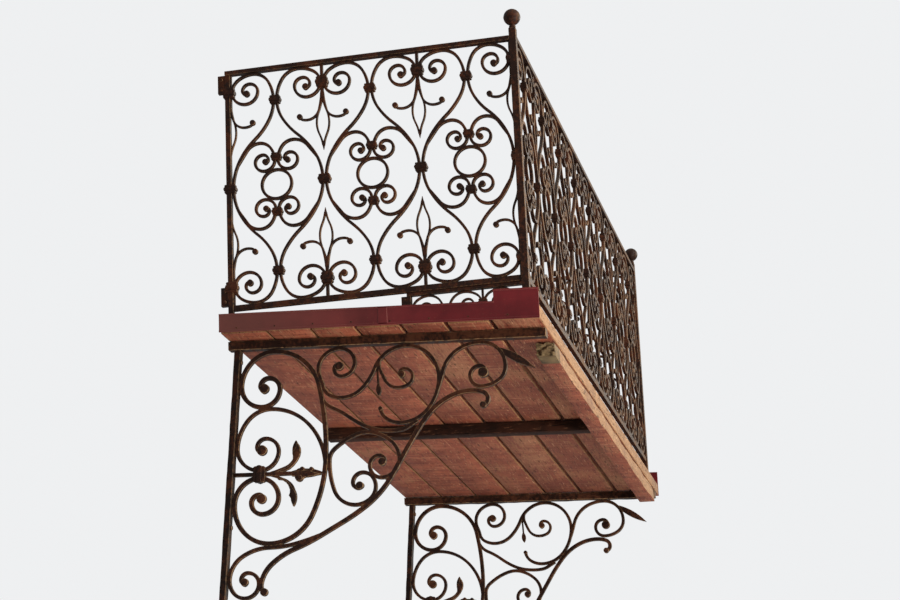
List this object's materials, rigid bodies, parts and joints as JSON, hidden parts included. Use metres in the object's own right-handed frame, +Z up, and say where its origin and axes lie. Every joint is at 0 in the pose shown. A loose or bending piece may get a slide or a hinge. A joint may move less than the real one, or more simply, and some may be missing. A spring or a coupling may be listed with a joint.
{
  "type": "wrought iron balcony",
  "caption": "Wrought iron balcony with scroll railings, fleurs, rings and ball-topped corner posts round a timber deck on scrolled wall brackets.",
  "frame": {"origin": "middle of the middle beam's end face on the wall, just under the deck", "axes": "+X along the wall, +Y into the wall, so the balcony reaches out towards -Y, +Z up"},
  "size_m": [3.152, 1.2961, 2.242],
  "materials": {
    "wrought_iron": "weathered wrought iron with worn dark paint, brown rust and rubbed edges",
    "sheet_metal": "faded dark red paint on thin sheet metal with rust along its edges",
    "painted_boards": "red-brown paint worn off the boards' grain and ends",
    "painted_beam": "red-brown paint on a planed beam, cracked and dull",
    "worn_timber": "bare weathered timber with cracks and a broken end"
  },
  "bodies": {
    "root": {"deck": "painted_boards", "edge_timber": "worn_timber", "middle_beam": "painted_beam", "trim_left": "sheet_metal", "trim_right": "sheet_metal", "wall_post_left": "wrought_iron", "wall_post_right": "wrought_iron", "corner_post_left": "wrought_iron", "corner_post_right": "wrought_iron", "ball_left": "wrought_iron", "ball_right": "wrought_iron", "top_rail_left": "wrought_iron", "top_rail_front": "wrought_iron", "top_rail_right": "wrought_iron", "bottom_rail_left": "wrought_iron", "bottom_rail_front": "wrought_iron", "bottom_rail_right": "wrought_iron", "scroll_panel_left": "wrought_iron", "scroll_panel_front": "wrought_iron", "scroll_panel_right": "wrought_iron", "bracket_top_bar_left": "wrought_iron", "bracket_wall_bar_left": "wrought_iron", "bracket_wall_scrolls_left": "wrought_iron", "bracket_brace_left": "wrought_iron", "bracket_top_scrolls_left": "wrought_iron", "bracket_middle_scrolls_left": "wrought_iron", "bracket_top_bar_right": "wrought_iron", "bracket_wall_bar_right": "wrought_iron", "bracket_wall_scrolls_right": "wrought_iron", "bracket_brace_right": "wrought_iron", "bracket_top_scrolls_right": "wrought_iron", "bracket_middle_scrolls_right": "wrought_iron"}
  },
  "joints": []
}
